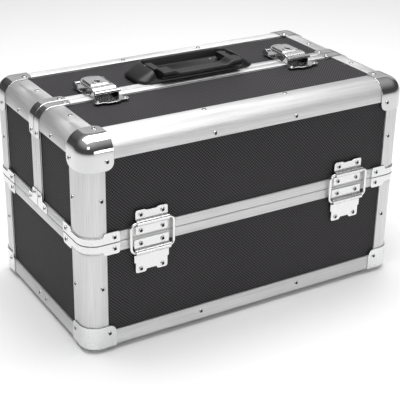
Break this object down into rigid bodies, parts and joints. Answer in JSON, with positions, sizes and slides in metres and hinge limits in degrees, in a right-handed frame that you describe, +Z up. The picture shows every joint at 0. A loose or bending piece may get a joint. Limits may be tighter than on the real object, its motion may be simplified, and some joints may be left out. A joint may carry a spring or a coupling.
{
  "type": "makeup train case",
  "caption": "Hard-sided make-up train case with aluminium edges, a split top that swings open to front and back, lift-out trays on arms, key latches and a folding top handle.",
  "frame": {"origin": "on the ground under the middle of the case, level with the bottoms of its feet", "axes": "+X along the case to the right, +Y from the front lid to the back lid, +Z up"},
  "size_m": [0.3694, 0.2198, 0.233],
  "materials": {
    "panel": "black sheet covering with a fine raised dot texture",
    "aluminium": "satin extruded aluminium with fine lengthwise grooves",
    "chrome": "bright chromed pressed steel",
    "steel": "nickel plated pressed steel",
    "nickel": "nickel plated steel wire",
    "rubber": "black moulded rubber",
    "handle": "black moulded plastic, slightly grained",
    "tray": "black moulded plastic with a lining"
  },
  "bodies": {
    "base": {"base_walls": "panel", "base_floor": "panel", "base_rim": "aluminium", "base_bottom_trim": "aluminium", "base_post_front_left": "aluminium", "bottom_cap_front_left": "steel", "foot_front_left": "rubber", "hinge_base_plate_front_left": "steel", "base_post_front_right": "aluminium", "bottom_cap_front_right": "steel", "foot_front_right": "rubber", "hinge_base_plate_front_right": "steel", "base_post_rear_left": "aluminium", "bottom_cap_rear_left": "steel", "foot_rear_left": "rubber", "hinge_base_plate_rear_left": "steel", "base_post_rear_right": "aluminium", "bottom_cap_rear_right": "steel", "foot_rear_right": "rubber", "hinge_base_plate_rear_right": "steel"},
    "rings_front": {"hinge_ring_front_left": "nickel", "hinge_ring_front_right": "nickel"},
    "lid_front": {"lid_front_shell": "panel", "lid_front_frame": "aluminium", "lid_corner_front_left": "chrome", "hinge_lid_plate_front_left": "steel", "lid_corner_front_right": "chrome", "hinge_lid_plate_front_right": "steel", "latch_catch_left": "steel", "latch_catch_right": "steel"},
    "arms_outer_front": {"arm_outer_front_left": "steel", "arm_outer_front_right": "steel"},
    "arms_inner_front": {"arm_inner_front_left": "steel", "arm_inner_front_right": "steel"},
    "tray_lower_front": {"tray_lower_front": "tray"},
    "tray_upper_front": {"tray_upper_front": "tray"},
    "rings_rear": {"hinge_ring_rear_left": "nickel", "hinge_ring_rear_right": "nickel"},
    "lid_rear": {"lid_rear_shell": "panel", "lid_rear_frame": "aluminium", "lid_corner_rear_left": "chrome", "hinge_lid_plate_rear_left": "steel", "lid_corner_rear_right": "chrome", "hinge_lid_plate_rear_right": "steel", "latch_plate_left": "steel", "latch_plate_right": "steel", "handle_well": "handle"},
    "arms_outer_rear": {"arm_outer_rear_left": "steel", "arm_outer_rear_right": "steel"},
    "arms_inner_rear": {"arm_inner_rear_left": "steel", "arm_inner_rear_right": "steel"},
    "tray_lower_rear": {"tray_lower_rear": "tray"},
    "tray_upper_rear": {"tray_upper_rear": "tray"},
    "lever_left": {"latch_lever_left": "steel"},
    "lever_right": {"latch_lever_right": "steel"},
    "grip": {"handle_grip": "handle"}
  },
  "joints": [
    {"name": "front_ring_swing", "type": "hinge", "parent": "base", "child": "rings_front", "pos_m": [0, -0.1069, 0.1005], "axis": [1, 0, 0], "range_deg": [0, 72]},
    {"name": "front_lid_fold", "type": "hinge", "parent": "rings_front", "child": "lid_front", "pos_m": [0, -0.1069, 0.1305], "axis": [1, 0, 0], "range_deg": [0, 18]},
    {"name": "front_arms_outer", "type": "hinge", "parent": "base", "child": "arms_outer_front", "pos_m": [0, -0.0845, 0.113], "axis": [1, 0, 0], "range_deg": [0, 90]},
    {"name": "front_arms_inner", "type": "hinge", "parent": "base", "child": "arms_inner_front", "pos_m": [0, -0.065, 0.113], "axis": [1, 0, 0], "range_deg": [0, 90]},
    {"name": "front_tray_lower", "type": "hinge", "parent": "arms_outer_front", "child": "tray_lower_front", "pos_m": [0, -0.0565, 0.145], "axis": [1, 0, 0], "range_deg": [-90, 0]},
    {"name": "front_tray_upper", "type": "hinge", "parent": "arms_outer_front", "child": "tray_upper_front", "pos_m": [0, -0.0285, 0.177], "axis": [1, 0, 0], "range_deg": [-90, 0]},
    {"name": "rear_ring_swing", "type": "hinge", "parent": "base", "child": "rings_rear", "pos_m": [0, 0.1069, 0.1005], "axis": [-1, 0, 0], "range_deg": [0, 72]},
    {"name": "rear_lid_fold", "type": "hinge", "parent": "rings_rear", "child": "lid_rear", "pos_m": [0, 0.1069, 0.1305], "axis": [-1, 0, 0], "range_deg": [0, 18]},
    {"name": "rear_arms_outer", "type": "hinge", "parent": "base", "child": "arms_outer_rear", "pos_m": [0, 0.0845, 0.113], "axis": [-1, 0, 0], "range_deg": [0, 90]},
    {"name": "rear_arms_inner", "type": "hinge", "parent": "base", "child": "arms_inner_rear", "pos_m": [0, 0.065, 0.113], "axis": [-1, 0, 0], "range_deg": [0, 90]},
    {"name": "rear_tray_lower", "type": "hinge", "parent": "arms_outer_rear", "child": "tray_lower_rear", "pos_m": [0, 0.0565, 0.145], "axis": [-1, 0, 0], "range_deg": [-90, 0]},
    {"name": "rear_tray_upper", "type": "hinge", "parent": "arms_outer_rear", "child": "tray_upper_rear", "pos_m": [0, 0.0285, 0.177], "axis": [-1, 0, 0], "range_deg": [-90, 0]},
    {"name": "latch_lever_left", "type": "hinge", "parent": "lid_rear", "child": "lever_left", "pos_m": [-0.112, 0.027, 0.2245], "axis": [-1, 0, 0], "range_deg": [0, 80]},
    {"name": "latch_lever_right", "type": "hinge", "parent": "lid_rear", "child": "lever_right", "pos_m": [0.112, 0.027, 0.2245], "axis": [-1, 0, 0], "range_deg": [0, 80]},
    {"name": "grip_fold", "type": "hinge", "parent": "lid_rear", "child": "grip", "pos_m": [0, 0.033, 0.227], "axis": [-1, 0, 0], "range_deg": [0, 90]}
  ],
  "couplings": [
    {"joint": "front_lid_fold", "follows": "front_ring_swing", "ratio": 0.25},
    {"joint": "front_arms_outer", "follows": "front_ring_swing", "ratio": 1.25},
    {"joint": "front_arms_inner", "follows": "front_ring_swing", "ratio": 1.25},
    {"joint": "front_tray_lower", "follows": "front_ring_swing", "ratio": -1.25},
    {"joint": "front_tray_upper", "follows": "front_ring_swing", "ratio": -1.25},
    {"joint": "rear_lid_fold", "follows": "rear_ring_swing", "ratio": 0.25},
    {"joint": "rear_arms_outer", "follows": "rear_ring_swing", "ratio": 1.25},
    {"joint": "rear_arms_inner", "follows": "rear_ring_swing", "ratio": 1.25},
    {"joint": "rear_tray_lower", "follows": "rear_ring_swing", "ratio": -1.25},
    {"joint": "rear_tray_upper", "follows": "rear_ring_swing", "ratio": -1.25}
  ]
}
